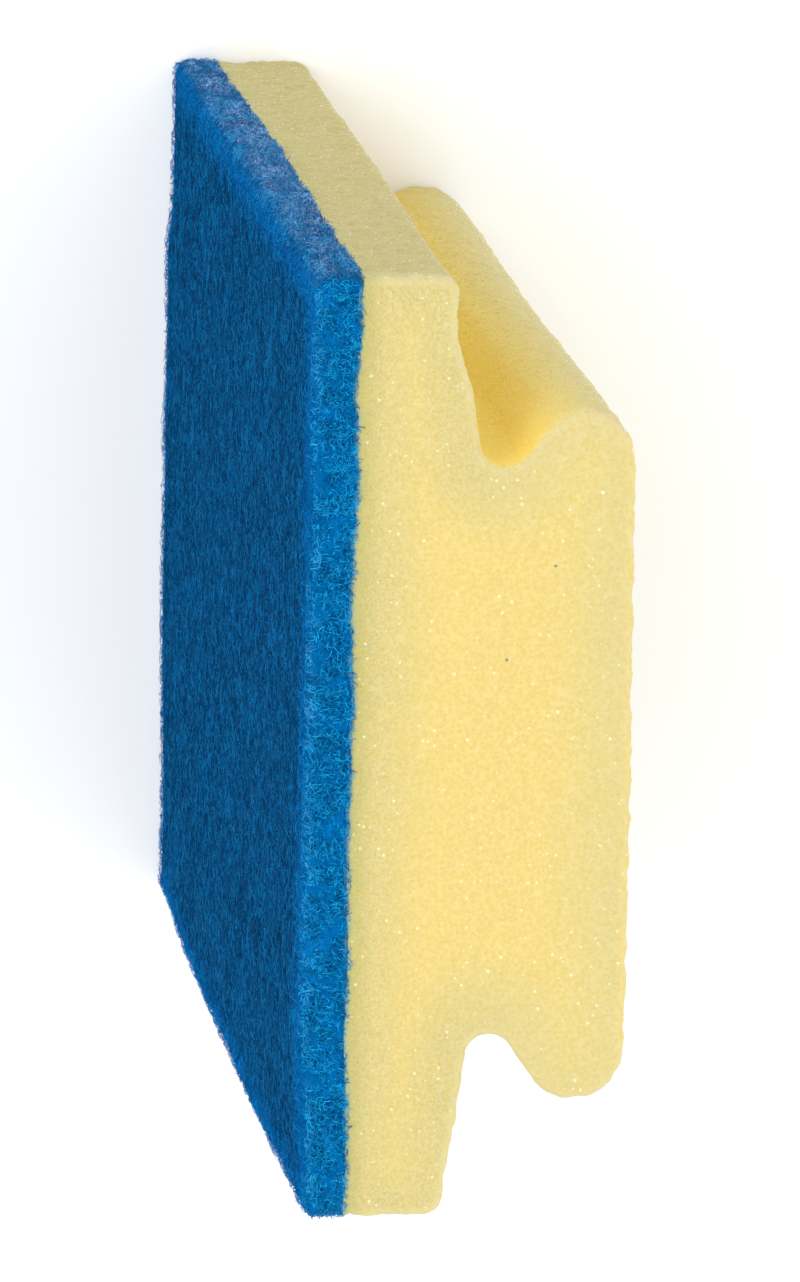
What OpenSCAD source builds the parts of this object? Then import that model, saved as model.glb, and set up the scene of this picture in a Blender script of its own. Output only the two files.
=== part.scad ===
// Kitchen scouring sponge with finger-grip grooves.
// It stands upright on one end. Its length runs along Z, its width along X, and its
// thickness along Y, from the scouring pad's face at -Y to the soft head's face at +Y.
// The origin is the middle of the end that it stands on.

/* [Overall] */
// Length, from end to end
length = 130; // [80:1:180]
// Width across the scouring pad
width = 90; // [84:1:120]
// Thickness, from the pad's face to the head's face
thickness = 31; // [31:0.5:40]
// Radius of the four corners of the pad and the glue film
corner_r = 1.2; // [0.4:0.2:3]

/* [Scouring pad] */
// Thickness of the resin and grit coat on the outer face
coat_t = 0.5; // [0.3:0.1:1]
// Thickness of the nonwoven fibre web
web_t = 3.2; // [2:0.2:5]
// Thickness of the glue film between the web and the foam
film_t = 0.3; // [0.2:0.1:0.6]

/* [Flange] */
// Distance from the pad's face to the outer edge of the flange's upper side
flange_t = 14; // [11:0.5:14]
// Radius of the flange's long edges
flange_r = 2; // [1:0.2:3]
// How far the upper side rises from the flange's edge to the groove
flank_rise = 1.9; // [0.7:0.1:1.9]

/* [Grip grooves and head] */
// Radius of the bottom of each grip groove
groove_r = 2.4; // [1.6:0.1:2.5]
// Width left between the two grooves
neck_w = 54.2; // [48:0.2:56]
// Width of the head
head_w = 66.2; // [60:0.2:70]
// Radius of the head's two long edges
head_r = 4.8; // [3:0.2:5]

/* [Hidden] */
$fn = 96;

// distances of each layer's outer side from the pad's face
web_from = coat_t;
film_from = coat_t + web_t;
foam_from = film_from + film_t;

// centres of the three arcs of one side of the foam's profile, as [across, from the pad's face]
edge_c = [width / 2 - flange_r, flange_t - flange_r];
groove_c = [neck_w / 2 + groove_r, flange_t + flank_rise + groove_r];
head_c = [head_w / 2 - head_r, thickness - head_r];

function polar(r, angle) = r * [cos(angle), sin(angle)];

// Direction, seen from centre a, of the point where a line that crosses between two circles
// touches circle a; side is 1 or -1 for the line on either side of the centres.
function cross_tangent(a, ra, b, rb, side) =
    let (d = b - a)
    atan2(d[1], d[0]) + side * acos((ra + rb) / norm(d));

flank_angle = cross_tangent(edge_c, flange_r, groove_c, groove_r, -1);
lip_angle = cross_tangent(groove_c, groove_r, head_c, head_r, 1);

// One half of the foam's profile: a straight-sided outline through the arcs' centres and
// tangent points, with the two convex arcs added and the groove's round bottom cut away.
module half_profile() {
    difference() {
        polygon([
            [0, foam_from],
            [width / 2, foam_from],
            [width / 2, edge_c[1]],
            edge_c,
            edge_c + polar(flange_r, flank_angle),
            groove_c - polar(groove_r, flank_angle),
            groove_c,
            groove_c + polar(groove_r, lip_angle),
            head_c - polar(head_r, lip_angle),
            head_c,
            [head_c[0], thickness],
            [0, thickness]
        ]);
        translate(groove_c) circle(groove_r);
    }
    translate(edge_c) circle(flange_r);
    translate(head_c) circle(head_r);
}

// A flat sheet of the pad's outline, from one distance from the pad's face to another.
module sheet(from, thick) {
    inner_w = width - 2 * corner_r;
    inner_l = length - 2 * corner_r;
    translate([0, from - thickness / 2 + thick, length / 2])
        rotate([90, 0, 0])
            linear_extrude(thick)
                union() {
                    square([inner_w, length], center = true);
                    square([width, inner_l], center = true);
                    for (sx = [-1, 1], sy = [-1, 1])
                        translate([sx * inner_w / 2, sy * inner_l / 2]) circle(corner_r);
                }
}

// Profiled foam body: flange, two grip grooves and the soft head.
module foam_body() {
    color([0.95, 0.87, 0.52])
        translate([0, -thickness / 2, 0])
            linear_extrude(length) {
                half_profile();
                mirror([1, 0]) half_profile();
            }
}

// Glue film that holds the web on the foam's flat back.
module adhesive_film() {
    color([0.45, 0.6, 0.62]) sheet(film_from, film_t);
}

// Nonwoven fibre web of the scouring pad.
module fibre_web() {
    color([0.1, 0.42, 0.72]) sheet(web_from, web_t);
}

// Resin and grit coat on the web's outer face.
module abrasive_coat() {
    color([0.05, 0.28, 0.5]) sheet(0, coat_t);
}

foam_body();
adhesive_film();
fibre_web();
abrasive_coat();
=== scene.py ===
"""Looks of a kitchen scouring sponge: a profiled soft foam body glued to a blue fibre pad."""

import itertools
import math

import bmesh
import bpy
import numpy as np
from mathutils import Matrix, Vector
from mathutils.geometry import delaunay_2d_cdt
from mathutils.kdtree import KDTree


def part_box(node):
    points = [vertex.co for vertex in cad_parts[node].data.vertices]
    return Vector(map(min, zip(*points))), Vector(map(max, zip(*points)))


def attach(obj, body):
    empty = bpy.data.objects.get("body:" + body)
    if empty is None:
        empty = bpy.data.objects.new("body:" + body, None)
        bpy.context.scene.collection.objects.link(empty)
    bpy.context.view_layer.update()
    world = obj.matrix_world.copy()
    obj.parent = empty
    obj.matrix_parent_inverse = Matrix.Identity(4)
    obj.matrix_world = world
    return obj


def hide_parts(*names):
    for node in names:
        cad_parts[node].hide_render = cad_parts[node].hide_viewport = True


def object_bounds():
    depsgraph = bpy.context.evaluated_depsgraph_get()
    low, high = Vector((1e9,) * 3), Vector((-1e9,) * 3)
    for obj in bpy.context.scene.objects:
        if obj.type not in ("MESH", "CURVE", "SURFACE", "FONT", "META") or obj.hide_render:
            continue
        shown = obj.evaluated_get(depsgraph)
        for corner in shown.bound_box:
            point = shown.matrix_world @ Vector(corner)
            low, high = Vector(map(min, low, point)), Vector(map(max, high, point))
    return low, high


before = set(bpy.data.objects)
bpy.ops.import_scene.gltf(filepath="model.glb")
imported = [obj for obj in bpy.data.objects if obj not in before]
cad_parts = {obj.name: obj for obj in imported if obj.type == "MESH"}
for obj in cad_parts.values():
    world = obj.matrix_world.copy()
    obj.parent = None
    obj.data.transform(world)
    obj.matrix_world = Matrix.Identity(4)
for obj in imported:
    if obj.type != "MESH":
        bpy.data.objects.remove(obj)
CAD_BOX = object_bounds()

MM = 0.001
X, Y, Z = range(3)
LOW, HIGH = (np.array(corner) for corner in CAD_BOX)
MIDDLE = (CAD_BOX[0] + CAD_BOX[1]) / 2
FLOOR = LOW[Z]
# how near two lengths are to count as the same
SAME = 1e-6

# where the layers meet, from the scouring pad's face at -Y to the foam
PAD_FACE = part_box("abrasive_coat")[0].y
WEB_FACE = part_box("fibre_web")[0].y
FILM_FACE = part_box("adhesive_film")[0].y
FOAM_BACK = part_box("foam_body")[0].y


# ---------- noise

def lattice(cell, seed):
    """A fixed value from 0 to 1 for each whole-number point of a lattice."""
    mask = np.uint64(0xFFFFFFFF)
    x, y, z = (cell[..., i].astype(np.int64).astype(np.uint64) for i in range(3))
    mixed = x * np.uint64(0x8DA6B343) + y * np.uint64(0xD8163841) + z * np.uint64(0xCB1AB31F)
    mixed = (mixed + np.uint64(seed * 0x9E3779B9)) & mask
    for shift, factor in ((15, 0x2C1B3C6D), (12, 0x297A2D39)):
        mixed = ((mixed ^ (mixed >> np.uint64(shift))) * np.uint64(factor)) & mask
    return (mixed ^ (mixed >> np.uint64(15))) / float(0xFFFFFFFF)


def noise(points, size, seed):
    """Smooth noise from -1 to 1 with lumps of about that size."""
    scaled = points / size
    cell = np.floor(scaled)
    part = scaled - cell
    part = part * part * (3 - 2 * part)
    total = np.zeros(len(points))
    for corner in itertools.product((0, 1), repeat=3):
        share = np.where(corner, part, 1 - part).prod(axis=1)
        total += share * lattice(cell + corner, seed)
    return 2 * total - 1


def layered(points, layers):
    """The sum of layers of noise, each given as (height, size, seed)."""
    return sum(height * noise(points, size, seed) for height, size, seed in layers)


def pits(points, size, seed):
    """Distance to the nearest of a set of scattered points, in units of their spacing."""
    scaled = points / size
    cell = np.floor(scaled)
    nearest = np.full(len(points), 9.0)
    for step in itertools.product((-1, 0, 1), repeat=3):
        there = cell + step
        centre = there + np.stack([lattice(there, seed + i) for i in range(3)], axis=1)
        nearest = np.minimum(nearest, ((scaled - centre) ** 2).sum(axis=1))
    return np.sqrt(nearest)


def fade(value, start, end):
    """From 0 at start to 1 at end, smoothly."""
    t = np.clip((value - start) / (end - start), 0, 1)
    return t * t * (3 - 2 * t)


# ---------- outlines and meshes

def face_outline(node, axis, at):
    """The edge of a CAD node's flat face at that value of that axis, as an anticlockwise loop
    of points in the next two axes."""
    joined = bmesh.new()
    joined.from_mesh(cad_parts[node].data)
    bmesh.ops.remove_doubles(joined, verts=joined.verts, dist=SAME)
    joined.verts.index_update()
    places = np.array([v.co for v in joined.verts])
    edges = set()
    for face in joined.faces:
        corners = [v.index for v in face.verts]
        if all(abs(places[c][axis] - at) < SAME for c in corners):
            edges.update(zip(corners, corners[1:] + corners[:1]))
    joined.free()
    onward = {a: b for a, b in edges if (b, a) not in edges}
    loop = [min(onward)]
    while onward[loop[-1]] != loop[0]:
        loop.append(onward[loop[-1]])
    flat = places[loop][:, [(axis + 1) % 3, (axis + 2) % 3]]
    after = np.roll(flat, -1, axis=0)
    area = (flat[:, 0] * after[:, 1] - after[:, 0] * flat[:, 1]).sum()
    return flat if area > 0 else flat[::-1]


def resampled(loop, spacing):
    """The same closed loop with points at even distances along it."""
    closed = np.vstack([loop, loop[:1]])
    along = np.concatenate([[0], np.cumsum(np.linalg.norm(np.diff(closed, axis=0), axis=1))])
    at = np.linspace(0, along[-1], round(along[-1] / spacing), endpoint=False)
    return np.stack([np.interp(at, along, closed[:, i]) for i in range(2)], axis=1)


def outward(loop):
    """The outward unit normal at each point of an anticlockwise loop."""
    ahead = np.roll(loop, -1, axis=0) - np.roll(loop, 1, axis=0)
    normal = np.stack([ahead[:, 1], -ahead[:, 0]], axis=1)
    return normal / np.linalg.norm(normal, axis=1, keepdims=True)


def from_middle(loop):
    """Each point's way out from a rectangle's middle, which is 1 long on each axis at the sides."""
    low, high = loop.min(axis=0), loop.max(axis=0)
    return (2 * loop - low - high) / (high - low)


# how far inner points keep from a ring and are moved at random, as shares of their spacing
RING_CLEARANCE = 0.7
SCATTER = 0.2


def filled(ring, spacing):
    """New points inside a flat ring, and triangles over the ring's points and the new ones."""
    low, high = ring.min(axis=0), ring.max(axis=0)
    rows = np.arange(low[1], high[1], spacing * math.sqrt(3) / 2)
    grid = np.array([
        (u + (spacing / 2 if i % 2 else 0), v)
        for i, v in enumerate(rows)
        for u in np.arange(low[0], high[0], spacing)
    ])
    grid += np.random.default_rng(5).uniform(-SCATTER, SCATTER, grid.shape) * spacing
    tree = KDTree(len(ring))
    for i, (u, v) in enumerate(ring):
        tree.insert((u, v, 0), i)
    tree.balance()
    clear = [tree.find((u, v, 0))[2] > RING_CLEARANCE * spacing for u, v in grid]
    given = np.vstack([ring, grid[clear]]) / MM
    _, _, faces, origins = delaunay_2d_cdt(
        [Vector(p) for p in given], [], [list(range(len(ring)))], 1, SAME
    )[:4]
    source = [origin[0] for origin in origins]
    triangles = np.array([[source[v] for v in face] for face in faces])
    return given[len(ring):] * MM, triangles


def extruded(loop, axis, levels, caps, ways):
    """Points and faces of a solid whose outline is loop, along an axis. levels is a list of
    (place along the axis, how far the outline is drawn in there), and ways holds each point's
    move for that, outwards. caps gives the spacing of the points on the first and last face, or
    None for a plain face."""
    count = len(loop)
    rings = [loop - inset * ways for _, inset in levels]
    flat = [*rings]
    at = [np.full(count, place) for place, _ in levels]
    low = np.arange(count * (len(levels) - 1))
    following = low - low % count + (low % count + 1) % count
    faces = [np.stack([low, following, following + count, low + count], axis=1)]
    last = count * (len(levels) - 1)
    total = count * len(levels)
    for spacing, ring, start, turn, place in (
        (caps[0], rings[0], 0, -1, levels[0][0]),
        (caps[1], rings[-1], last, 1, levels[-1][0]),
    ):
        if spacing is None:
            faces.append((start + np.arange(count))[::turn][None])
            continue
        inside, triangles = filled(ring, spacing)
        corners = np.where(triangles < count, triangles + start, triangles - count + total)
        faces.append(corners[:, ::turn])
        flat.append(inside)
        at.append(np.full(len(inside), place))
        total += len(inside)
    flat, at = np.vstack(flat), np.concatenate(at)
    points = np.zeros((total, 3))
    points[:, (axis + 1) % 3] = flat[:, 0]
    points[:, (axis + 2) % 3] = flat[:, 1]
    points[:, axis] = at
    return points, faces


EDGE_STEPS = 4


def rounded_levels(start, end, radius, spacing):
    """Levels from start to end, with a rounded edge at each."""
    first, last = start + radius, end - radius
    straight = np.linspace(first, last, round((last - first) / spacing) + 1)
    curve = edge_curve(radius)
    return [
        *((start + depth, inset) for depth, inset in curve),
        *((place, 0.0) for place in straight),
        *((end - depth, inset) for depth, inset in curve[::-1]),
    ]


def edge_curve(radius):
    """(depth below the face, inset) along a rounded edge, from the face outwards."""
    turns = [math.pi / 2 * i / EDGE_STEPS for i in range(EDGE_STEPS)]
    return [(radius * (1 - math.cos(t)), radius * (1 - math.sin(t))) for t in turns]


def made_mesh(name, points, faces):
    """A smooth-shaded mesh object from points and arrays of faces."""
    mesh = bpy.data.meshes.new(name)
    corners = np.concatenate([f.ravel() for f in faces]).astype(np.int32)
    sizes = np.concatenate([np.full(len(f), f.shape[1]) for f in faces])
    starts = (np.cumsum(sizes) - sizes).astype(np.int32)
    mesh.vertices.add(len(points))
    mesh.vertices.foreach_set("co", points.astype(np.float32).ravel())
    mesh.loops.add(len(corners))
    mesh.loops.foreach_set("vertex_index", corners)
    mesh.polygons.add(len(starts))
    mesh.polygons.foreach_set("loop_start", starts)
    mesh.update(calc_edges=True)
    mesh.validate()
    mesh.shade_smooth()
    piece = bpy.data.objects.new(name, mesh)
    bpy.context.scene.collection.objects.link(piece)
    return piece


def places_of(piece):
    """Where a piece's points are."""
    points = np.zeros(len(piece.data.vertices) * 3, np.float32)
    piece.data.vertices.foreach_get("co", points)
    return points.reshape(-1, 3).astype(float)


def normals_of(piece):
    """The normal at each of a piece's points."""
    normals = np.zeros(len(piece.data.vertices) * 3, np.float32)
    piece.data.vertex_normals.foreach_get("vector", normals)
    return normals.reshape(-1, 3).astype(float)


def put_value(piece, name, values):
    """Gives each point of a piece a value that its material can read."""
    layer = piece.data.attributes.new(name, "FLOAT", "POINT")
    layer.data.foreach_set("value", np.asarray(values, np.float32))


def put_points(piece, points):
    """Moves a piece's points there, none of them below the floor."""
    points[:, Z] = np.maximum(points[:, Z], FLOOR)
    piece.data.vertices.foreach_set("co", points.astype(np.float32).ravel())
    piece.data.update()


def finished(piece, material, replaced=None):
    """Gives a piece its material, hangs it on the frame's root body and hides any CAD part that it
    replaces.
    """
    piece.data.materials.clear()
    piece.data.materials.append(material)
    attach(piece, "root")
    if replaced:
        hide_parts(replaced)


# ---------- material nodes

def tree_of(material):
    """A new material's node tree and its Principled node."""
    material.use_nodes = True
    tree = material.node_tree
    return tree, tree.nodes["Principled BSDF"]


def add(tree, kind, settings=(), **inputs):
    """A node with settings and inputs, each input a value or another node's output."""
    node = tree.nodes.new(kind)
    for name, value in dict(settings).items():
        setattr(node, name, value)
    for name, value in inputs.items():
        socket = node.inputs[int(name[1:]) if name[0] == "i" and name[1:].isdigit() else name]
        if isinstance(value, bpy.types.NodeSocket):
            tree.links.new(value, socket)
        else:
            socket.default_value = value
    return node


def scaled(tree, value, low, high, to_low=0.0, to_high=1.0):
    """value taken from low..high to to_low..to_high, and held there."""
    return add(
        tree, "ShaderNodeMapRange", dict(clamp=True),
        i0=value, i1=low, i2=high, i3=to_low, i4=to_high,
    ).outputs[0]


def maths(tree, operation, first, second=0.0):
    """The result of one operation on two values."""
    return add(tree, "ShaderNodeMath", dict(operation=operation), i0=first, i1=second).outputs[0]


def times(tree, first, *others):
    """Several values multiplied together."""
    for other in others:
        first = maths(tree, "MULTIPLY", first, other)
    return first


def opposite(tree, value):
    """1 where a value is 0, and 0 where it is 1."""
    return maths(tree, "SUBTRACT", 1.0, value)


def blended(tree, share, first, second):
    """Two colours mixed; each is a colour or another node's output."""
    node = tree.nodes.new("ShaderNodeMix")
    node.data_type = "RGBA"
    for index, value in ((0, share), (6, first), (7, second)):
        socket = node.inputs[index]
        if isinstance(value, bpy.types.NodeSocket):
            tree.links.new(value, socket)
        else:
            socket.default_value = value if index == 0 else (*value, 1.0)
    return node.outputs[2]


def noise_node(tree, vector, size, detail=2.0, roughness=0.5):
    """Smooth noise from 0 to 1 with lumps of about that size."""
    return add(
        tree, "ShaderNodeTexNoise", Vector=vector, Scale=1 / size, Detail=detail, Roughness=roughness
    ).outputs["Fac"]


def values_read(tree, *names):
    """The values that the mesh's points hold under those names."""
    return [add(tree, "ShaderNodeAttribute", dict(attribute_name=name)).outputs["Fac"] for name in names]


def cells_node(tree, vector, size):
    """A pattern of cells of about that size."""
    return add(tree, "ShaderNodeTexVoronoi", Vector=vector, Scale=1 / size)


def roughened(tree, shader, height, strength, depth):
    """Gives a surface a bump that follows height."""
    bump = add(tree, "ShaderNodeBump", Strength=strength, Distance=depth, Height=height)
    tree.links.new(bump.outputs["Normal"], shader.inputs["Normal"])


def set_shader(shader, values):
    """Sets values that are the same all over a surface, on the shader's own sockets."""
    for name, value in values.items():
        shader.inputs[name].default_value = value


# ---------- materials

# sizes of the foam's features
FOAM_CELL = 0.42 * MM
FOAM_GRAIN = 0.34 * MM
FOAM_FLECK = 0.25 * MM
FOAM_COARSE = 0.45 * MM
FOAM_RAGGED = 0.5 * MM
FOAM_PATCH = 7 * MM
GLINT_SPACING = 0.62 * MM
GLINT_OUTLINE = 0.16 * MM
DUST_SPACING = 6 * MM
# where a speck of dust fades out, in units of that spacing, and from which chance a cell has one
DUST_RADIUS = (0.032, 0.018)
DUST_CHANCE = (0.45, 0.47)
FOAM_BUMP = 0.14 * MM
# how strongly they show, from 0 to 1
HOLE_SHARE = 0.47
GRAIN_SHARE = 0.34
COARSE_SHARE = 0.25
GLINT_SHARE = 0.6
# how open the sides look beside the cut ends, which are 1
SIDE_OPENNESS = 0.4
# its colours
# painted light: a cut end is warmer and brighter well inside its edges, as light scattered in the foam
FOAM_CORE_GLOW = (0.71, 0.56, 0.226)
FOAM_SKIN = (0.60, 0.53, 0.275)
# painted shade: the long sides are darker and khaki, as they get less light than the ends
FOAM_SIDE_SHADE = (0.46, 0.397, 0.163)
# painted light bouncing between the grooves' walls, which makes them golden
FOAM_BOUNCE_LIGHT = (0.96, 0.70, 0.078)
# painted shade in the open cells' hollows; the same colour also marks grain at random
FOAM_HOLE = (0.58, 0.445, 0.095)
FOAM_SHADE = (0.33, 0.29, 0.11)
# painted light tinted blue-green by the pad as it scatters into the foam beside it
FOAM_PAD_LIGHT = (0.44, 0.42, 0.17)
FOAM_GLUED = (0.22, 0.36, 0.28)
# painted highlight of a glinting cell skin
GLINT = (1.0, 0.95, 0.74)
SPECK = (0.16, 0.20, 0.22)


def chance_of(tree, cells):
    """A random number for each cell. A cell's own colour won't do, because it follows the place
    of the cell's point."""
    return add(tree, "ShaderNodeTexWhiteNoise", Vector=cells.outputs["Color"]).outputs["Value"]


def glints(tree, vector):
    """From 0 to 1: painted highlights where scattered cell skins glint, the brighter the larger, of
    uneven outline.
    """
    cells = cells_node(tree, vector, GLINT_SPACING)
    strength = maths(tree, "POWER", scaled(tree, chance_of(tree, cells), 0.25, 1.0), 3.0)
    uneven = scaled(tree, noise_node(tree, vector, GLINT_OUTLINE, 1.0), 0.3, 0.7, -0.09, 0.09)
    distance = maths(tree, "ADD", cells.outputs["Distance"], uneven)
    reach = scaled(tree, strength, 0.0, 1.0, 0.07, 0.33)
    return scaled(tree, maths(tree, "SUBTRACT", reach, distance), 0.0, 0.26)


def foam_material():
    """Fine open-cell foam: pale struts round deeper-coloured cells, with painted shade in their hollows.
    """
    material = bpy.data.materials.new("foam")
    tree, shader = tree_of(material)
    where = add(tree, "ShaderNodeTexCoord").outputs["Object"]
    cells = cells_node(tree, where, FOAM_CELL)
    strut = scaled(tree, cells.outputs["Distance"], 0.15, 0.75)
    patch = scaled(tree, noise_node(tree, where, FOAM_PATCH, 3.0), 0.3, 0.7, -0.08, 0.08)
    grain = scaled(tree, noise_node(tree, where, FOAM_GRAIN, 3.0, 0.7), 0.3, 0.7)
    core, cut_open, side, deep = values_read(tree, "core", "cut_open", "side", "deep")
    near_pad, glued, flecked = values_read(tree, "near_pad", "glued", "flecked")

    # painted light and shade: warm in the middle of a cut end, as light scattered in the foam,
    # khaki with painted shade on the long sides and golden with painted bounce light in the grooves
    warm = add(
        tree, "ShaderNodeMath", dict(operation="ADD", use_clamp=True), i0=core, i1=patch
    ).outputs[0]
    colour = blended(tree, warm, FOAM_SKIN, FOAM_CORE_GLOW)
    colour = blended(tree, side, colour, FOAM_SIDE_SHADE)
    coarse = scaled(tree, noise_node(tree, where, FOAM_COARSE, 2.0, 0.7), 0.40, 0.62)
    colour = blended(tree, times(tree, coarse, side, COARSE_SHARE), colour, FOAM_SHADE)
    colour = blended(tree, deep, colour, FOAM_BOUNCE_LIGHT)

    # painted light, greener towards the pad as its blue scatters into the foam, with ragged glue at the
    # joint
    green_share = times(tree, near_pad, scaled(tree, side, 0.0, 1.0, 0.95, 0.4))
    colour = blended(tree, green_share, colour, FOAM_PAD_LIGHT)
    ragged = scaled(tree, noise_node(tree, where, FOAM_RAGGED, 2.0), 0.3, 0.55)
    colour = blended(tree, times(tree, glued, ragged), colour, FOAM_GLUED)

    # open cells with painted shade in their hollows, specks, painted glints and dust
    openness = scaled(tree, cut_open, 0.0, 1.0, SIDE_OPENNESS, 1.0)
    hole_share = times(tree, opposite(tree, strut), openness, HOLE_SHARE)
    colour = blended(tree, hole_share, colour, FOAM_HOLE)
    colour = blended(tree, times(tree, grain, openness, GRAIN_SHARE), colour, FOAM_HOLE)
    fleck = scaled(tree, noise_node(tree, where, FOAM_FLECK, 2.0, 0.7), 0.42, 0.62)
    fleck_share = times(tree, fleck, opposite(tree, warm), flecked)
    colour = blended(tree, fleck_share, colour, FOAM_SHADE)
    colour = blended(tree, times(tree, glints(tree, where), cut_open, GLINT_SHARE), colour, GLINT)
    dust = cells_node(tree, where, DUST_SPACING)
    chosen = scaled(tree, chance_of(tree, dust), *DUST_CHANCE)
    speck = times(tree, chosen, scaled(tree, dust.outputs["Distance"], *DUST_RADIUS))
    colour = blended(tree, speck, colour, SPECK)
    tree.links.new(colour, shader.inputs["Base Color"])
    height = maths(tree, "ADD", strut, times(tree, grain, 0.6))
    roughened(tree, shader, height, 0.6, FOAM_BUMP)
    set_shader(shader, {
        "Roughness": 0.8,
        "Subsurface Weight": 0.3,
        "Subsurface Radius": (1.0, 0.6, 0.2),
        "Subsurface Scale": 1.0 * MM,
        "Specular IOR Level": 0.15,
        "Sheen Weight": 0.12,
        "Sheen Roughness": 0.5,
    })
    return material


def grain_material():
    """Bits of dry cell skin, paler than the foam that they stand on as painted highlights, with the
    foam's painted shade on the long sides and painted bounce light in the grooves.
    """
    material = bpy.data.materials.new("cell_skins")
    tree, shader = tree_of(material)
    side, deep, bright = values_read(tree, "side", "deep", "bright")
    colour = blended(tree, side, FOAM_SKIN, FOAM_SIDE_SHADE)
    colour = blended(tree, deep, colour, FOAM_BOUNCE_LIGHT)
    bright = times(tree, bright, scaled(tree, deep, 0.0, 1.0, 1.0, 0.35))
    tree.links.new(blended(tree, bright, colour, GLINT), shader.inputs["Base Color"])
    set_shader(shader, {"Roughness": 0.6, "Specular IOR Level": 0.2})
    return material


# the pad's blues, where coat is the scouring face's and web the cut edges'
# the gap blues are painted shade between the fibre tops, and also darken clumps and drifts at random
COAT_GAP = (0.0, 0.036, 0.11)
COAT_BODY = (0.001, 0.088, 0.25)
COAT_FIBRES = ((0.0, 0.03, 0.10), (0.007, 0.25, 0.62))
WEB_GAP = (0.0, 0.062, 0.19)
WEB_BODY = (0.002, 0.19, 0.48)
WEB_FIBRES = ((0.0, 0.085, 0.28), (0.012, 0.52, 1.0))
EDGE_BLUE = (0.001, 0.19, 0.55)
EDGE_FIBRES = ((0.0, 0.09, 0.32), (0.004, 0.33, 0.84))
# painted sheen: the pale blue of fibres that catch the light edge-on along the long cut sides; it also
# makes the brightest fibres beside the face paler
PALE_FIBRE_BLUE = (0.36, 0.58, 0.92)
GLUE_BLUE = (0.004, 0.15, 0.38)
GLUE_GREEN = (0.08, 0.27, 0.34)

# the fibre pattern: its bends, its fibres, and the directions they lie in, in degrees
BEND_SIZE = 1.6 * MM
BEND_REACH = 1.1 * MM
FIBRE_LENGTH = 1.3 * MM
FIBRE_WIDTH = 0.13 * MM
FIBRE_TURNS = ((0, 20, 0), (35, 80, 50), (-25, 140, -40), (10, 55, 100))
# sizes of the darker clumps and drifts over it, and of the glue's patches
CLUMP_SIZE = 0.7 * MM
DRIFT_SIZE = 6 * MM
GLUE_PATCH = 0.9 * MM
GLUE_BUMP = 0.1 * MM


def fibre_pattern(tree, where):
    """From 0 to 1: the tops of fine fibres that cross in several directions."""
    bent = add(tree, "ShaderNodeTexNoise", Vector=where, Scale=1 / BEND_SIZE, Detail=1.0)
    shift = add(
        tree, "ShaderNodeVectorMath", dict(operation="SCALE"),
        Vector=bent.outputs["Color"], Scale=BEND_REACH,
    )
    moved = add(
        tree, "ShaderNodeVectorMath", dict(operation="ADD"), i0=where, i1=shift.outputs[0]
    ).outputs[0]
    top = None
    for turn in FIBRE_TURNS:
        laid = add(
            tree, "ShaderNodeMapping", Vector=moved,
            Rotation=[math.radians(a) for a in turn],
            Scale=(1 / FIBRE_LENGTH, 1 / FIBRE_WIDTH, 1 / FIBRE_WIDTH),
        ).outputs[0]
        value = add(tree, "ShaderNodeTexNoise", Vector=laid, Scale=1.0, Detail=1.5).outputs["Fac"]
        off_ridge = maths(tree, "ABSOLUTE", maths(tree, "SUBTRACT", value, 0.5))
        ridge = scaled(tree, off_ridge, 0.14, 0.0)
        top = ridge if top is None else maths(tree, "MAXIMUM", top, ridge)
    return top


def matted_material(name, gap, middle, bump_depth):
    """The pad's body: fibre tops over gaps darkened with painted shade, brighter blue where rim is 1."""
    material = bpy.data.materials.new(name)
    tree, shader = tree_of(material)
    where = add(tree, "ShaderNodeTexCoord").outputs["Object"]
    (rim,) = values_read(tree, "rim")
    top = fibre_pattern(tree, where)
    clump = scaled(tree, noise_node(tree, where, CLUMP_SIZE, 3.0, 0.6), 0.35, 0.68)
    drift = scaled(tree, noise_node(tree, where, DRIFT_SIZE, 2.0), 0.35, 0.65)
    colour = blended(tree, times(tree, rim, 0.9), middle, EDGE_BLUE)
    # painted shade in the gaps between fibre tops, then darker clumps and drifts at random
    for darker, most in ((opposite(tree, top), 0.75), (clump, 0.4), (drift, 0.35)):
        colour = blended(tree, times(tree, darker, most), colour, gap)
    tree.links.new(colour, shader.inputs["Base Color"])
    roughened(tree, shader, top, 0.8, bump_depth)
    set_shader(shader, {"Roughness": 0.9, "Specular IOR Level": 0.01})
    return material


def strand_material(name, fibres):
    """Loose fibres, each its own shade: rim makes one a brighter blue, and pale makes it paler, which on
    the long cut sides is painted sheen.
    """
    material = bpy.data.materials.new(name)
    tree, shader = tree_of(material)
    shade, rim, pale = values_read(tree, "shade", "rim", "pale")
    colour = blended(tree, shade, *fibres)
    colour = blended(tree, times(tree, rim, 0.8), colour, blended(tree, shade, *EDGE_FIBRES))
    tree.links.new(blended(tree, pale, colour, PALE_FIBRE_BLUE), shader.inputs["Base Color"])
    set_shader(shader, {"Roughness": 0.75, "Specular IOR Level": 0.02})
    return material


def film_material():
    """Dried glue: slightly glossy, in patches of blue and green."""
    material = bpy.data.materials.new("glue_film")
    tree, shader = tree_of(material)
    where = add(tree, "ShaderNodeTexCoord").outputs["Object"]
    patch = scaled(tree, noise_node(tree, where, GLUE_PATCH, 3.0), 0.35, 0.65)
    tree.links.new(blended(tree, patch, GLUE_BLUE, GLUE_GREEN), shader.inputs["Base Color"])
    roughened(tree, shader, patch, 0.5, GLUE_BUMP)
    set_shader(shader, {"Roughness": 0.5})
    return material


# ---------- shared unevenness

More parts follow.
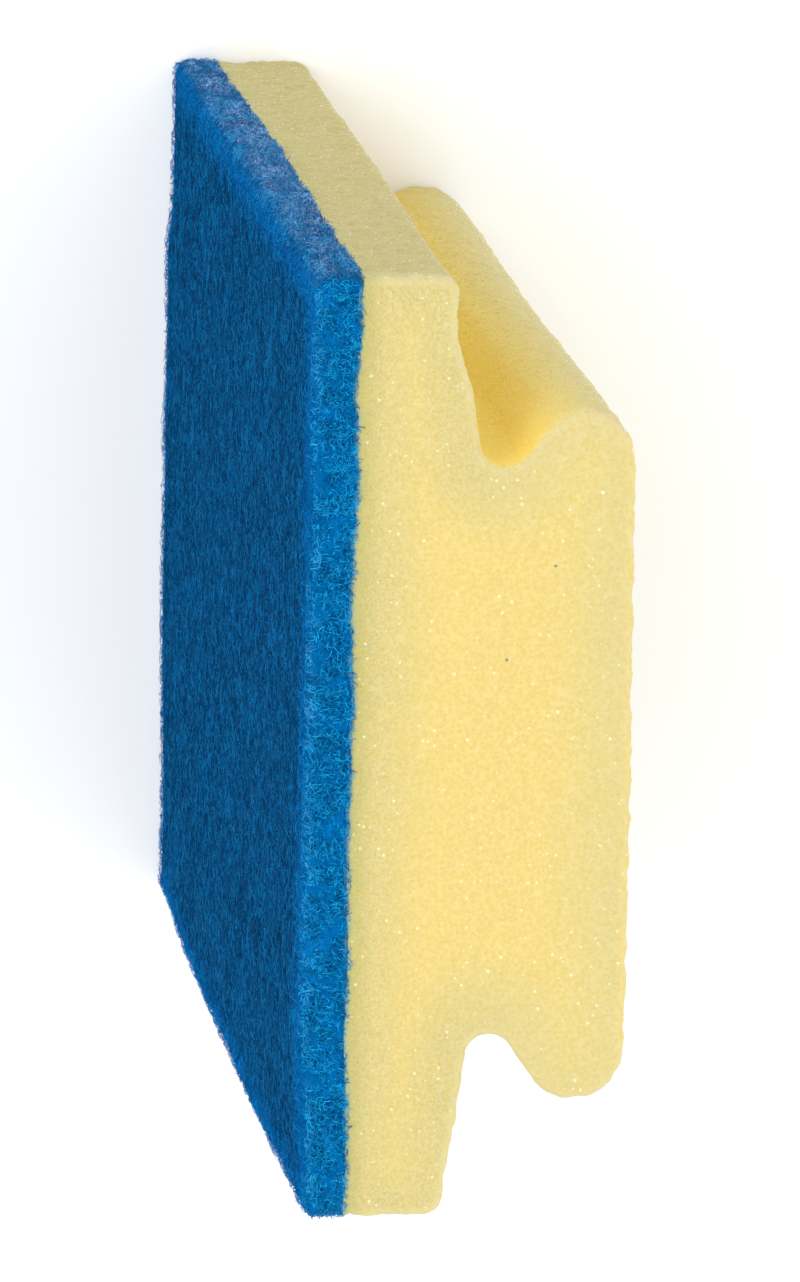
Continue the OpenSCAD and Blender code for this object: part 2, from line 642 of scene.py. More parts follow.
# layers of noise, each as (height, size, seed)
JOIN_WANDER = ((0.20 * MM, 5 * MM, 31), (0.14 * MM, 1.4 * MM, 32))
CUT_WANDER = ((0.25 * MM, 22 * MM, 41), (0.12 * MM, 7 * MM, 42))
FOAM_LUMPS = ((0.11 * MM, 1.1 * MM, 11), (0.09 * MM, 0.6 * MM, 12))
GLUE_BEADS = ((0.1 * MM, 1.1 * MM, 21),)
WEB_TUFTS = ((0.26 * MM, 1.3 * MM, 51), (0.18 * MM, 0.5 * MM, 52))
COAT_GRAIN = ((0.07 * MM, 1.1 * MM, 61), (0.07 * MM, 0.55 * MM, 62))
COAT_SWELL = ((0.14 * MM, 6 * MM, 63),)

# how far the joint is moved everywhere, how much more it leans each way and from where to where
JOIN_SHIFT = 0.25 * MM
JOIN_TO_FOAM = 0.45 * MM
JOIN_TO_FOAM_X = (15 * MM, HIGH[X])
JOIN_TO_PAD = 0.6 * MM
JOIN_TO_PAD_Z = (0.5 * HIGH[Z], LOW[Z])
JOIN_REACH = 1.6 * MM

# how far each part of lean goes, and where along the axes it starts and ends
LOW_Z = (0.9 * HIGH[Z], 0.1 * HIGH[Z])
HEAD_DRAWN = 0.75 * MM
HEAD_DRAWN_LOW = 0.7 * MM
HEAD_DRAWN_HALFWAY = 2.2 * MM
HEAD_DRAWN_X = (-20 * MM, -30 * MM)
HEAD_DRAWN_Y = (3 * MM, 9 * MM)
HEAD_SWELLING = 0.7 * MM
HEAD_SWELLING_X = (20 * MM, 30 * MM)
HEAD_SWELLING_Y = (-2 * MM, 5 * MM)
HEAD_SUNK = 0.4 * MM
HEAD_SUNK_X = (10 * MM, -30 * MM)
HEAD_SUNK_Y = (8 * MM, HIGH[Y])
HOLLOW = 1.0 * MM
HOLLOW_MIDDLE = -39.6 * MM
HOLLOW_WIDTH = 3.8 * MM
HOLLOW_Y = (-7 * MM, -2 * MM)
HOLLOW_Z = (0.2 * HIGH[Z], 0.9 * HIGH[Z])
BELLY = 0.75 * MM
FLATTER = 0.4 * MM
FLATTER_LEFT_X = (-24 * MM, -31 * MM)
FLATTER_RIGHT_X = (15 * MM, 35 * MM)
FLATTER_RIGHT_Z = (40 * MM, 0)
CORNER_IN = 0.7 * MM
CORNER_X = (25 * MM, HIGH[X])
CORNER_Z = (0.65 * HIGH[Z], HIGH[Z])


def join_wave(points):
    """How far the glued joint wanders through the thickness there; it fades away from the joint.
    The joint leans towards the foam along the +X side and towards the pad at the bottom."""
    wander = layered(points * (1, 0, 1), JOIN_WANDER)
    wander += JOIN_SHIFT + JOIN_TO_FOAM * fade(points[:, X], *JOIN_TO_FOAM_X)
    wander -= JOIN_TO_PAD * fade(points[:, Z], *JOIN_TO_PAD_Z)
    away = (points[:, Y] - FOAM_BACK) / JOIN_REACH
    return wander * np.exp(-away * away)


def cut_wander(points):
    """The slow wander of a cut edge, in metres."""
    return layered(points, CUT_WANDER)


def lean(points):
    """The slow unevenness of a sponge that was cut and glued by hand."""
    x, y, z = points.T
    low = fade(z, *LOW_Z)
    moved = np.zeros_like(points)
    # the head's -X side draws in, most of all at half height, and its +X side swells at the top
    drawn = HEAD_DRAWN + HEAD_DRAWN_LOW * low + HEAD_DRAWN_HALFWAY * low * (1 - low)
    swelling = HEAD_SWELLING * (1 - low)
    moved[:, X] = drawn * fade(y, *HEAD_DRAWN_Y) * fade(x, *HEAD_DRAWN_X)
    moved[:, X] += swelling * fade(y, *HEAD_SWELLING_Y) * fade(x, *HEAD_SWELLING_X)
    # the head's broad face sinks at the top, towards -X
    moved[:, Y] = -HEAD_SUNK * (1 - low) * fade(x, *HEAD_SUNK_X) * fade(y, *HEAD_SUNK_Y)
    # the upper side of the -X flange is hollow towards the top
    hollow = np.exp(-(((x - HOLLOW_MIDDLE) / HOLLOW_WIDTH) ** 2)) * fade(y, *HOLLOW_Y)
    moved[:, Y] -= HOLLOW * hollow * fade(z, *HOLLOW_Z)
    # the pad's face bellies out at the bottom, less towards its sides, and its top +X corner
    # draws in
    outer = fade(y, FILM_FACE, WEB_FACE)
    flatter = fade(x, *FLATTER_LEFT_X) + fade(x, *FLATTER_RIGHT_X) * fade(z, *FLATTER_RIGHT_Z)
    moved[:, Y] -= (BELLY - FLATTER * flatter) * low * outer
    moved[:, Y] += CORNER_IN * fade(x, *CORNER_X) * fade(z, *CORNER_Z) * outer
    return moved


# ---------- foam

FOAM_GRID = 0.34 * MM
# how many times coarser its outline is where the glue hides it
HIDDEN_EVERY = 8
FOAM_EDGE = 0.8 * MM
# how far from the joint its ends become rounded, and its sides uneven
ROUNDED_FROM_JOINT = 1.2 * MM
UNEVEN_FROM_JOINT = 0.8 * MM
# how much higher its lumps are on the long sides and lower in the grooves, as shares
SIDE_LUMPS = 0.35
GROOVE_LUMPS = 0.9
# its share of the pad's slow wander
FOAM_WANDER = 0.4

# the grooves' middle, and where they start and end across X and along Y from it
GROOVE_MIDDLE = 4 * MM
GROOVE_ACROSS = (41 * MM, 28 * MM)
GROOVE_ALONG = (11 * MM, 1 * MM)

# where the foam's colours start and end: below its outline,
CORE_DEPTH = (0.5 * MM, 9.5 * MM)
OPEN_DEPTH = (0.3 * MM, 0.9 * MM)
# from the head's broad face,
BROAD_DEPTH = (1.2 * MM, 0.2 * MM)
HEAD_DEPTH = (0.3 * MM, 2.5 * MM)
# from the flange's long sides,
FLANK_DEPTH = (4 * MM, 0.5 * MM)
# along Y and across X,
HEAD_ALONG = (2 * MM, 8 * MM)
BOUNCED_ACROSS = (-10 * MM, 10 * MM)
# from the end,
SIDE_FROM_END = (0.5 * MM, 3.5 * MM)
DEEP_FROM_END = (0.1 * MM, 1.0 * MM)
# and from the joint
GREEN_FROM_PAD = (3.2 * MM, 0.2 * MM)
GLUE_FROM_PAD = (0.7 * MM, 0.15 * MM)
FLECKS_FROM_PAD = (20 * MM, 7 * MM)

# how strong those colours are
BROAD_CORE = 0.5
# how much painted shade the head's side gets
HEAD_SIDE_SHADE = 0.5
BOUNCED_MOST = 0.88
BOUNCED_LESS = 0.33
FLECKED = 0.35
OUTLINE_STEP = 0.2 * MM


def foam_body():
    """The profiled foam body, with the lumps of its cells."""
    outline = face_outline("foam_body", Z, LOW[Z])
    loop = resampled(outline, FOAM_GRID)
    hidden = np.abs(loop[:, 1] - FOAM_BACK) < SAME
    loop = loop[~hidden | (np.arange(len(loop)) % HIDDEN_EVERY == 0)]
    levels = rounded_levels(LOW[Z], HIGH[Z], FOAM_EDGE, FOAM_GRID)
    glued = fade(loop[:, 1] - FOAM_BACK, 0, ROUNDED_FROM_JOINT)
    ways = outward(loop) * glued[:, None]
    piece = made_mesh("foam", *extruded(loop, Z, levels, (FOAM_GRID, FOAM_GRID), ways))
    points, normals = places_of(piece), normals_of(piece)
    colour_values(piece, points, outline)
    free = fade(points[:, Y] - FOAM_BACK, 0, UNEVEN_FROM_JOINT)
    on_side = fade(np.abs(normals[:, Z]), 0.9, 0.5)
    lumps = layered(points, FOAM_LUMPS)
    lumps *= 1 + (SIDE_LUMPS - GROOVE_LUMPS * in_groove(points)) * on_side
    rise = (lumps + FOAM_WANDER * cut_wander(points)) * free
    points += lean(points) + normals * rise[:, None]
    points[:, Y] += join_wave(points)
    put_points(piece, points)
    return piece


def in_groove(points):
    """1 at the bottom of the grip grooves and 0 outside them."""
    across = fade(np.abs(points[:, X]), *GROOVE_ACROSS)
    return across * fade(np.abs(points[:, Y] - GROOVE_MIDDLE), *GROOVE_ALONG)


def colour_values(piece, points, outline):
    """core is 1 well inside the cut ends, where painted light makes the foam warmer and brighter, as
    light scattered in it, and half that on the head's broad face; cut_open is 1 all over the cut ends
    and on the head's broad face. side is painted shade, 1 on the flange's long sides and less on the
    head's, and deep is painted light, high at the bottom of the grip grooves, where light bounces
    between the walls. near_pad is painted light tinted blue-green by the pad and glued is where glue
    and blue fibre show through; both rise towards the joint. flecked is how much of a cut end's foam
    is dark specks."""
    edge = resampled(outline, OUTLINE_STEP)
    tree = KDTree(len(edge))
    for i, (x, y) in enumerate(edge):
        tree.insert((x, y, 0), i)
    tree.balance()
    depth = np.array([tree.find((x, y, 0))[2] for x, y, _ in points])
    from_flank = HIGH[X] - np.abs(points[:, X])
    from_face = HIGH[Y] - points[:, Y]
    from_end = HIGH[Z] - points[:, Z]
    from_pad = points[:, Y] - FOAM_BACK
    broad = fade(from_face, *BROAD_DEPTH)
    skin = fade(depth, *OPEN_DEPTH[::-1])
    cut_open = np.maximum(fade(depth, *OPEN_DEPTH), broad)
    head = HEAD_SIDE_SHADE * fade(points[:, Y], *HEAD_ALONG) * fade(from_face, *HEAD_DEPTH)
    flank = fade(from_flank, *FLANK_DEPTH)
    bounced = BOUNCED_MOST - BOUNCED_LESS * fade(points[:, X], *BOUNCED_ACROSS)
    # painted light scattered in the middle of a cut end, and half that warmth on the head's broad face
    put_value(piece, "core", np.maximum(fade(depth, *CORE_DEPTH), BROAD_CORE * broad))
    put_value(piece, "cut_open", cut_open)
    # painted shade on the flange's long sides, and less on the head's
    put_value(piece, "side", skin * np.maximum(flank, head) * fade(from_end, *SIDE_FROM_END))
    put_value(piece, "deep", bounced * skin * in_groove(points) * fade(from_end, *DEEP_FROM_END))
    put_value(piece, "near_pad", fade(from_pad, *GREEN_FROM_PAD))
    put_value(piece, "glued", fade(from_pad, *GLUE_FROM_PAD))
    put_value(piece, "flecked", cut_open * FLECKED * fade(from_pad, *FLECKS_FROM_PAD))


GRAIN_COUNT = 30_000
GRAIN_SEED = 92
# least and most radius of a grain, how much flatter than a ball it is, and how far it stands out
GRAIN_RADIUS = (0.07 * MM, 0.15 * MM)
GRAIN_FLATNESS = 0.4
GRAIN_STANDS = 0.15
GRAIN_CLUMPS = 2.2 * MM
# how far its corners are moved in and out, and the least painted highlight that a grain has
GRAIN_SHAPE = (0.7, 1.3)
GRAIN_DULLEST = 0.4
# a face that points further than this down or to the pad is hidden
HIDDEN_NORMAL = -0.7
TETRAHEDRON = np.array([(1, 1, 1), (1, -1, -1), (-1, 1, -1), (-1, -1, 1)]) / math.sqrt(3)
TETRAHEDRON_FACES = np.array([(0, 1, 2), (0, 3, 1), (0, 2, 3), (1, 3, 2)])


def turned(rng, count):
    """Random rotation matrices, from random unit quaternions."""
    w, x, y, z = rng.normal(size=(count, 4)).T
    length = np.sqrt(w * w + x * x + y * y + z * z)
    w, x, y, z = w / length, x / length, y / length, z / length
    return np.array([
        [1 - 2 * (y * y + z * z), 2 * (x * y - w * z), 2 * (x * z + w * y)],
        [2 * (x * y + w * z), 1 - 2 * (x * x + z * z), 2 * (y * z - w * x)],
        [2 * (x * z - w * y), 2 * (y * z + w * x), 1 - 2 * (x * x + y * y)],
    ]).transpose(2, 0, 1)


def foam_grains(foam):
    """Loose bits of strut and cell skin that stand on the foam's long sides, coloured as painted
    highlights.
    """
    rng = np.random.default_rng(GRAIN_SEED)
    count = GRAIN_COUNT
    mesh = foam.data
    mesh.calc_loop_triangles()
    corners = np.zeros(len(mesh.loop_triangles) * 3, np.int32)
    mesh.loop_triangles.foreach_get("vertices", corners)
    corners = corners.reshape(-1, 3)
    points = places_of(foam)
    first, second, third = (points[corners[:, i]] for i in range(3))
    cross = np.cross(second - first, third - first)
    area = np.linalg.norm(cross, axis=1)
    normal = cross / (area[:, None] + 1e-20)
    hidden = (normal[:, Y] < HIDDEN_NORMAL) | (normal[:, Z] < HIDDEN_NORMAL)
    clumps = 0.3 + noise((first + second + third) / 3, GRAIN_CLUMPS, GRAIN_SEED + 1) ** 2
    weight = area * ~hidden * clumps * fade(normal[:, Z], 0.6, 0.3)
    chosen = rng.choice(len(corners), count, p=weight / weight.sum())
    u, v = rng.random((2, count, 1))
    u, v = np.where(u + v > 1, 1 - u, u), np.where(u + v > 1, 1 - v, v)
    at = first[chosen] * (1 - u - v) + second[chosen] * u + third[chosen] * v
    radius = GRAIN_RADIUS[0] + (GRAIN_RADIUS[1] - GRAIN_RADIUS[0]) * rng.random(count) ** 3
    shape = TETRAHEDRON * rng.uniform(*GRAIN_SHAPE, (count, 1, 3))
    shape = np.einsum("nij,nkj->nki", turned(rng, count), shape) * radius[:, None, None]
    up = normal[chosen][:, None]
    shape -= GRAIN_FLATNESS * (shape * up).sum(axis=2, keepdims=True) * up
    places = (at + GRAIN_STANDS * radius[:, None] * normal[chosen])[:, None] + shape
    faces = 4 * np.arange(count)[:, None, None] + TETRAHEDRON_FACES
    piece = made_mesh("foam_grains", places.reshape(-1, 3), [faces.reshape(-1, 3)])
    for kind in ("side", "deep"):
        values = np.zeros(len(points), np.float32)
        mesh.attributes[kind].data.foreach_get("value", values)
        put_value(piece, kind, np.repeat(values[corners[chosen, 0]], 4))
    # how much painted highlight each grain has
    bright = GRAIN_DULLEST + (1 - GRAIN_DULLEST) * rng.random(count)
    put_value(piece, "bright", np.repeat(bright, 4))
    put_points(piece, places_of(piece))
    return piece


# ---------- pad

WEB_GRID = 0.2 * MM
COAT_GRID = 0.36 * MM
FILM_GRID = 0.5 * MM
# how far the web runs into the glue and the glue into the foam, so that no gap shows between them
JOINT_OVERLAP = 0.15 * MM
GLUE_INSET = 0.05 * MM
# how far the pad's rounded edge reaches back from its face, and in from its sides
PAD_EDGE_DEPTH = 1.0 * MM
PAD_EDGE_WIDTH = 1.7 * MM
# where the long cut sides start and end, from the sides and from the end
LONG_SIDE_ACROSS = (1.6 * MM, 0.6 * MM)
LONG_SIDE_FROM_END = (0, 1.5 * MM)
# where the brighter blue along the face's edges starts and ends, from them
BRIGHT_FROM_EDGE = (4.6 * MM, 1.2 * MM)
WEB_PIT_SPACING = 1.1 * MM
WEB_PIT_DEPTH = 0.25 * MM
WEB_PIT_SEED = 53
# the coat's grain runs along the sponge's length
COAT_LIE = np.array([1, 1, 0.35])


def glue_film():
    """The film of glue between the web and the foam, whose edge is beaded."""
    loop = resampled(face_outline("adhesive_film", Y, FILM_FACE), FILM_GRID)
    levels = [(FILM_FACE, GLUE_INSET), (FOAM_BACK + JOINT_OVERLAP, GLUE_INSET)]
    piece = made_mesh("glue", *extruded(loop, Y, levels, (None, None), from_middle(loop)))
    points, normals = places_of(piece), normals_of(piece)
    points += normals * (1, 0, 1) * (cut_wander(points) + layered(points, GLUE_BEADS))[:, None]
    points[:, Y] += join_wave(points)
    put_points(piece, points)
    return piece


def rounded_off(inside, reach, most):
    """How far a rounded edge falls back at that distance inside it: from most at the edge itself
    to nothing where reach ends."""
    short = np.clip(1 - inside / reach, 0, 1)
    return most * (1 - np.sqrt(1 - short**2))


def drawn_in(places):
    """How far the pad's cut side is drawn in there, rounding it off towards the pad's face."""
    return rounded_off(places - PAD_FACE, PAD_EDGE_DEPTH, PAD_EDGE_WIDTH)


def pad_levels(start, end, spacing):
    """Levels of the pad's cut side from start to end."""
    places = np.linspace(start, end, round((end - start) / spacing) + 1)
    return list(zip(places, drawn_in(places)))


def long_side(points):
    """1 on the pad's two long cut sides and 0 on its ends."""
    across = fade(HIGH[X] - np.abs(points[:, X]), *LONG_SIDE_ACROSS)
    return across * fade(HIGH[Z] - points[:, Z], *LONG_SIDE_FROM_END)


def fibre_web():
    """The pad's web, tufted and pitted at its cut sides."""
    loop = resampled(face_outline("fibre_web", Y, WEB_FACE), WEB_GRID)
    levels = pad_levels(WEB_FACE, FILM_FACE + JOINT_OVERLAP, WEB_GRID)
    piece = made_mesh("web", *extruded(loop, Y, levels, (None, None), from_middle(loop)))
    points, normals = places_of(piece), normals_of(piece)
    put_value(piece, "rim", np.ones(len(points)))
    rough = layered(points, WEB_TUFTS)
    rough -= WEB_PIT_DEPTH * fade(pits(points, WEB_PIT_SPACING, WEB_PIT_SEED), 0.35, 0.1)
    points += lean(points) + normals * (1, 0, 1) * (rough + cut_wander(points))[:, None]
    points[:, Y] += join_wave(points)
    put_points(piece, points)
    return piece


def abrasive_coat():
    """The coat on the pad's outer face, grained along the sponge's length."""
    loop = resampled(face_outline("abrasive_coat", Y, PAD_FACE), COAT_GRID)
    levels = pad_levels(PAD_FACE, WEB_FACE, COAT_GRID / 4)
    piece = made_mesh("coat", *extruded(loop, Y, levels, (COAT_GRID, None), from_middle(loop)))
    points, normals = places_of(piece), normals_of(piece)
    put_value(piece, "rim", near_edge(points))
    out = fade(points[:, Y], WEB_FACE, PAD_FACE)
    rough = layered(points * COAT_LIE, COAT_GRAIN) + layered(points, COAT_SWELL)
    edges = cut_wander(points) * (1 - np.abs(normals[:, Y]))
    points += lean(points) + normals * (rough * out + edges)[:, None]
    put_points(piece, points)
    return piece


def from_pad_edge(x, z):
    """How far a place on the pad's face is from the nearest of its four edges."""
    return np.minimum(HIGH[X] - np.abs(x), np.minimum(z - LOW[Z], HIGH[Z] - z))


def near_edge(points):
    """From 0 on the pad's face to 1 along its four edges."""
    return fade(from_pad_edge(points[:, X], points[:, Z]), *BRIGHT_FROM_EDGE)


# ---------- loose fibres

FIBRE_STEPS = 6
ALONG_FIBRE = np.linspace(0, 1, FIBRE_STEPS + 1)[None]
# clumps of fibre run along the sponge's length, as the web was laid
LIE = np.array([1, 1, 0.18])
# least and most length and radius of the fibres on the cut edges and on the face, and how much
# they bend
RIM_LENGTH = (0.8 * MM, 2.4 * MM)
RIM_RADIUS = (0.026 * MM, 0.046 * MM)
RIM_BEND = 2.2
FACE_LENGTH = (1.2 * MM, 4 * MM)
FACE_RADIUS = (0.016 * MM, 0.028 * MM)
FACE_BEND = 1.8
# how much they swing from side to side, and the least and most times that they do
SWING = 0.9
SWING_TURNS = (0.6, 1.8)
# their usual height, how far it goes up and down, and the least and most times that it does
RIM_LIFT = (0.06 * MM, 0.26 * MM, (0.6, 2.0))
FACE_LIFT = (0.04 * MM, 0.18 * MM, (0.4, 1.5))
# how far they stay from the pad's face and from its edges
RIM_MARGIN = 0.05 * MM
FACE_MARGIN = 0.3 * MM
# least reach of a fibre over the foam, and how much more the longest has
ASTRAY = 0.2 * MM
FAR_ASTRAY = 0.9 * MM
# where the loose inner part of a cut edge starts and ends, from the pad's face
INNER_EDGE = (0.3 * MM, 1.5 * MM)
# how much looser the fibres are on the long sides, and along the face's edges
SIDE_LOOSE = 1.2
RIM_LOOSE = 1.5
# the darkest that a clump of fibres goes, the least painted sheen that the long sides' fibres get,
# and the palest that those beside the face become
DARKEST = 0.06
LEAST_SHEEN = 0.06
MOST_PALE = 0.3
# sizes of the clumps of one shade and of the painted sheen, and what sets their seeds apart
SHADE_CLUMP = 0.6 * MM
HAZE_CLUMP = 0.7 * MM
HAZE_SEED = 200


def waves(rng, count, turns):
    """A wave from -1 to 1 along each fibre, with that least and most number of turns."""
    return np.sin(
        2 * math.pi * (rng.uniform(*turns, (count, 1)) * ALONG_FIBRE + rng.random((count, 1)))
    )


def curls(rng, count, length, bend):
    """Flat curly paths, each about its own middle, as an array of fibre, point and axis."""
    swing = rng.normal(0, SWING, (count, 1)) * waves(rng, count, SWING_TURNS)
    start = rng.uniform(0, 2 * math.pi, (count, 1))
    heading = start + rng.normal(0, bend, (count, 1)) * ALONG_FIBRE + swing
    step = rng.uniform(*length, (count, 1)) / FIBRE_STEPS
    path = np.cumsum(step[..., None] * np.stack([np.cos(heading), np.sin(heading)], axis=2), axis=1)
    return path - path.mean(axis=1, keepdims=True)


def lifts(rng, count, base, swing, turns):
    """How far each point of each fibre stands off the surface as it waves up and down."""
    wave = waves(rng, count, turns)
    return base + swing * rng.uniform(0.3, 1, (count, 1)) * wave


def tubes(name, paths, normals, radius, **values):
    """Three-sided closed tubes along paths, with named values for each that its material reads."""
    count, along = paths.shape[:2]
    paths = paths + lean(paths.reshape(-1, 3)).reshape(paths.shape)
    ahead = np.gradient(paths, axis=1)
    ahead /= np.linalg.norm(ahead, axis=2, keepdims=True)
    side = np.cross(ahead, normals)
    side /= np.linalg.norm(side, axis=2, keepdims=True) + 1e-12
    over = np.cross(side, ahead)
    turns = 2 * math.pi * np.arange(3) / 3
    ring = paths[:, :, None] + radius[:, None, None, None] * (
        np.cos(turns)[:, None] * side[:, :, None] + np.sin(turns)[:, None] * over[:, :, None]
    )
    corner = np.arange(count * along * 3).reshape(count, along, 3)
    after = np.roll(corner, -1, axis=2)
    sides = np.stack([corner[:, :-1], after[:, :-1], after[:, 1:], corner[:, 1:]], axis=3)
    ends = np.vstack([corner[:, 0, ::-1], corner[:, -1]])
    piece = made_mesh(name, ring.reshape(-1, 3), [sides.reshape(-1, 4), ends])
    for kind, each in values.items():
        put_value(piece, kind, np.repeat(each, along * 3))
    put_points(piece, places_of(piece))
    return piece


def rim_fibres(name, seed, count, start, end):
    """Fibres along part of the pad's cut edge, from start to end as shares of its length."""
    rng = np.random.default_rng(seed)
    loop = resampled(face_outline("fibre_web", Y, WEB_FACE), WEB_GRID)
    normal = outward(loop)
    total = WEB_GRID * len(loop)
    at = np.arange(len(loop) + 1) / len(loop) * total
    table = np.hstack([loop, normal])
    table = np.vstack([table, table[:1]])
    flat = curls(rng, count, RIM_LENGTH, RIM_BEND)
    along = (rng.uniform(start, end, (count, 1)) * total + flat[..., 0]) % total
    through = rng.uniform(PAD_FACE, FOAM_BACK, (count, 1)) + flat[..., 1]
    astray = FOAM_BACK + ASTRAY + FAR_ASTRAY * rng.random((count, 1)) ** 4
    through = np.clip(through, PAD_FACE + RIM_MARGIN, astray)
    on_side = np.abs(np.interp(along.mean(axis=1), at, table[:, 3]))
    inner = fade(through.mean(axis=1) - PAD_FACE, *INNER_EDGE)
    loose = (0.4 + 0.6 * inner) * (1 + SIDE_LOOSE * on_side * rng.random(count))
    height = loose[:, None] * lifts(rng, count, *RIM_LIFT)
    height -= drawn_in(through)
    z, x, nz, nx = (np.interp(along, at, table[:, i]) for i in range(4))
    normals = np.stack([nx, np.zeros_like(nx), nz], axis=2)
    paths = np.stack([x, through, z], axis=2) + normals * height[..., None]
    every = paths.reshape(-1, 3)
    paths += normals * cut_wander(every).reshape(count, -1)[..., None]
    paths[..., Y] += join_wave(every).reshape(count, -1)
    middle = paths.mean(axis=1)
    clump = np.clip(0.5 + 0.6 * noise(middle * LIE, SHADE_CLUMP, seed), 0, 1)
    shade = (DARKEST + (1 - DARKEST) * clump) * rng.random(count) ** 1.4
    # painted sheen on the long sides, in clumps
    haze = np.clip(0.5 + 0.8 * noise(middle * LIE, HAZE_CLUMP, seed + HAZE_SEED), 0, 1)
    on_long_side = long_side(middle)
    spread = fade(rng.random(count), 0.35, 0.95)
    long_side_sheen = LEAST_SHEEN + (1 - LEAST_SHEEN) * haze * spread
    pale = MOST_PALE * (1 - inner) * shade**2 + on_long_side * inner * long_side_sheen
    # a few fibres of the end's cut edge are bright
    shade = np.maximum(shade, (1 - on_long_side) * rng.random(count) ** 4)
    radius = rng.uniform(*RIM_RADIUS, count)
    pale = np.minimum(pale, 1)
    return tubes(name, paths, normals, radius, shade=shade, pale=pale, rim=np.zeros(count))


def face_fibres(name, seed, count, low, high):
    """Fibres matted on the scouring face, between two heights."""
    rng = np.random.default_rng(seed)
    flat = curls(rng, count, FACE_LENGTH, FACE_BEND)
    x = rng.uniform(LOW[X], HIGH[X], (count, 1)) + flat[..., 0]
    z = rng.uniform(low, high, (count, 1)) + flat[..., 1]
    x = np.clip(x, LOW[X] + FACE_MARGIN, HIGH[X] - FACE_MARGIN)
    z = np.clip(z, LOW[Z] + FACE_MARGIN, HIGH[Z] - FACE_MARGIN)
    paths = np.stack([x, np.full_like(x, PAD_FACE), z], axis=2)
    swell = layered(paths.reshape(-1, 3), COAT_SWELL).reshape(count, -1)
    rim = near_edge(paths.mean(axis=1))
    paths[..., Y] += rounded_off(from_pad_edge(x, z), PAD_EDGE_WIDTH, PAD_EDGE_DEPTH)
    paths[..., Y] -= (1 + RIM_LOOSE * rim[:, None]) * lifts(rng, count, *FACE_LIFT) + swell
    normals = np.broadcast_to((0.0, -1.0, 0.0), paths.shape)
    shade = rng.random(count) ** 1.6
    radius = rng.uniform(*FACE_RADIUS, count)
    return tubes(name, paths, normals, radius, shade=shade, rim=rim, pale=np.zeros(count))


# ---------- object

FIBRE_PIECES = 8
RIM_COUNT = 4200
RIM_SEED = 70
FACE_COUNT = 5200
FACE_SEED = 80
WEB_BUMP = 0.15 * MM
COAT_BUMP = 0.12 * MM


def build_sponge():
    """Every piece of the sponge, with its material and its place in the frame."""
    foam, skins, glue = foam_material(), grain_material(), film_material()
    web = matted_material("web_body", WEB_GAP, WEB_BODY, WEB_BUMP)
    coat = matted_material("coat_body", COAT_GAP, COAT_BODY, COAT_BUMP)
    loose_web = strand_material("web_strands", WEB_FIBRES)
    loose_coat = strand_material("coat_strands", COAT_FIBRES)
    body = foam_body()
    finished(body, foam, "foam_body")
    finished(foam_grains(body), skins)
    finished(glue_film(), glue, "adhesive_film")
    finished(fibre_web(), web, "fibre_web")
    finished(abrasive_coat(), coat, "abrasive_coat")
    for i in range(FIBRE_PIECES):
        start, end = i / FIBRE_PIECES, (i + 1) / FIBRE_PIECES
        rim = rim_fibres(f"rim_fibres_{i + 1}", RIM_SEED + i, RIM_COUNT, start, end)
        finished(rim, loose_web)
        low, high = (LOW[Z] + (HIGH[Z] - LOW[Z]) * share for share in (start, end))
        face = face_fibres(f"face_fibres_{i + 1}", FACE_SEED + i, FACE_COUNT, low, high)
        finished(face, loose_coat)


# ---------- camera, floor and light

CAMERA_ELEVATION = math.radians(75.99)
CAMERA_AZIMUTH = math.radians(60.31)
CAMERA_DISTANCE = 956 * MM
CAMERA_LENS = 267.8
CAMERA_ROLL = math.radians(1.3)
CAMERA_CLIP = (0.01, 30.0)
AIM = MIDDLE + Vector((3.5, 1.3, 0.9)) * MM

FLOOR_HALF = 20.0
# how far the floor is under the object, so that the two don't touch
FLOOR_GAP = 1e-5
FLOOR_COLOUR = (0.9, 0.9, 0.9, 1)
SKY_COLOUR = (0.96, 0.98, 1.0, 1)
SKY_STRENGTH = 1.08
# each light's name, place from the object's middle, size, power and colour
LIGHTS = (
    ("key", (-0.15, -0.35, 0.85), 0.6, 4.35, (1.0, 0.98, 0.95)),
    ("fill", (0.25, 0.85, 0.12), 0.8, 3.5, (1.0, 0.99, 0.98)),
)


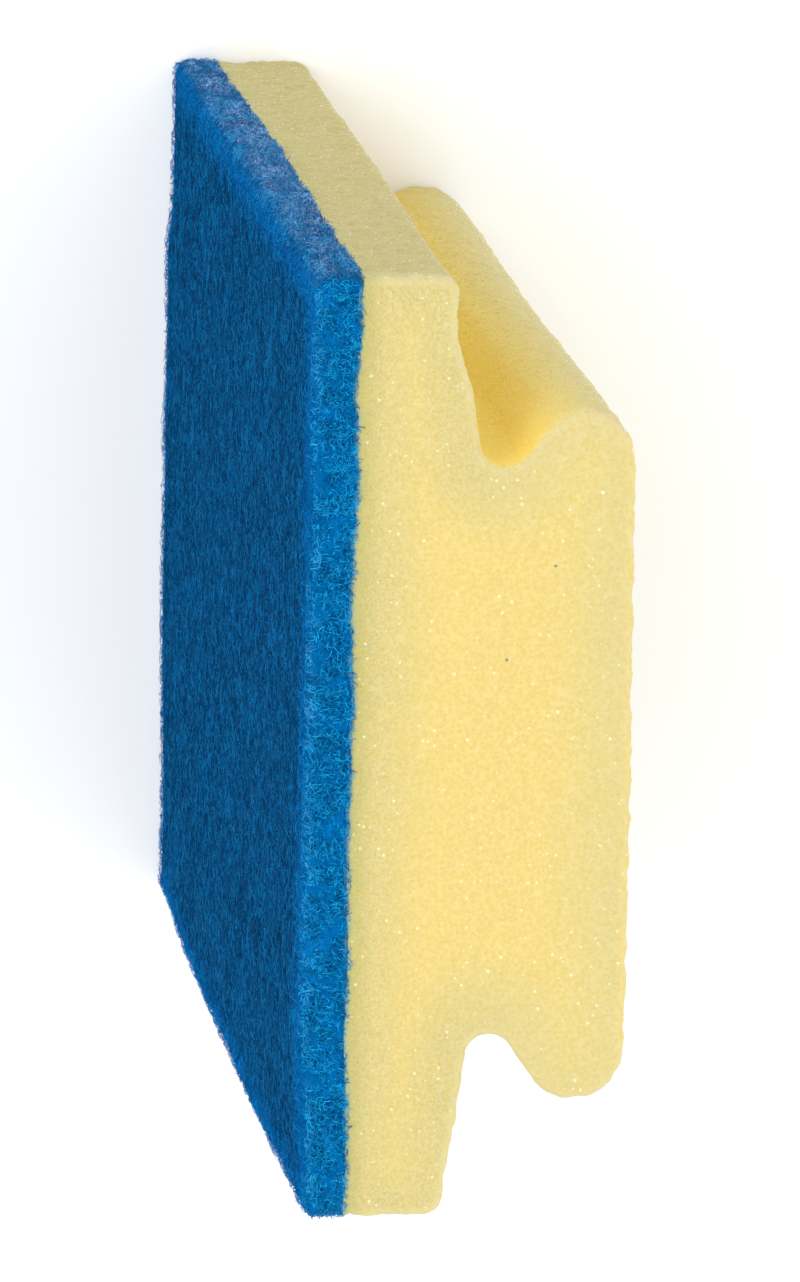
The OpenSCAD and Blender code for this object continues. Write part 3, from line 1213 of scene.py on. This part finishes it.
def look_at(piece, target, up):
    """Turns a camera or light to face target, with its own +Y as near up as it can be."""
    back = (piece.location - target).normalized()
    right = up.cross(back).normalized()
    turn = Matrix((right, back.cross(right), back)).transposed()
    piece.rotation_mode = "QUATERNION"
    piece.rotation_quaternion = turn.to_quaternion()


def make_camera():
    """The camera, at the photograph's viewing angle."""
    data = bpy.data.cameras.new("camera")
    data.lens = CAMERA_LENS
    data.clip_start, data.clip_end = CAMERA_CLIP
    camera = bpy.data.objects.new("camera", data)
    bpy.context.scene.collection.objects.link(camera)
    level = math.cos(CAMERA_ELEVATION)
    camera.location = MIDDLE + CAMERA_DISTANCE * Vector((
        -level * math.sin(CAMERA_AZIMUTH),
        -level * math.cos(CAMERA_AZIMUTH),
        math.sin(CAMERA_ELEVATION),
    ))
    look_at(camera, AIM, Vector((-1, 0, 0)))
    rolled = Matrix.Rotation(CAMERA_ROLL, 3, "Z").to_quaternion()
    camera.rotation_quaternion = camera.rotation_quaternion @ rolled
    bpy.context.scene.camera = camera


def make_light(name, place, size, power, colour):
    """A soft square light that faces the object's middle."""
    data = bpy.data.lights.new(name, "AREA")
    data.size, data.energy, data.color = size, power, colour
    light = bpy.data.objects.new(name, data)
    light.location = MIDDLE + Vector(place)
    bpy.context.scene.collection.objects.link(light)
    look_at(light, MIDDLE, Vector((0, 1, 0.1)))


def make_stage():
    """A plain pale floor, an even sky and two soft lights."""
    across = FLOOR_HALF * np.array([(-1, -1), (1, -1), (1, 1), (-1, 1)])
    corners = np.hstack([across, np.full((4, 1), FLOOR - FLOOR_GAP)])
    floor = made_mesh("floor", corners, [np.array([[0, 1, 2, 3]])])
    material = bpy.data.materials.new("floor_paint")
    _, shader = tree_of(material)
    set_shader(shader, {"Base Color": FLOOR_COLOUR, "Roughness": 0.9})
    floor.data.materials.append(material)
    world = bpy.data.worlds.new("studio")
    bpy.context.scene.world = world
    world.use_nodes = True
    background = world.node_tree.nodes["Background"]
    background.inputs["Color"].default_value = SKY_COLOUR
    background.inputs["Strength"].default_value = SKY_STRENGTH
    for light in LIGHTS:
        make_light(*light)
    bpy.context.scene.view_settings.view_transform = "Standard"


build_sponge()
make_camera()
make_stage()
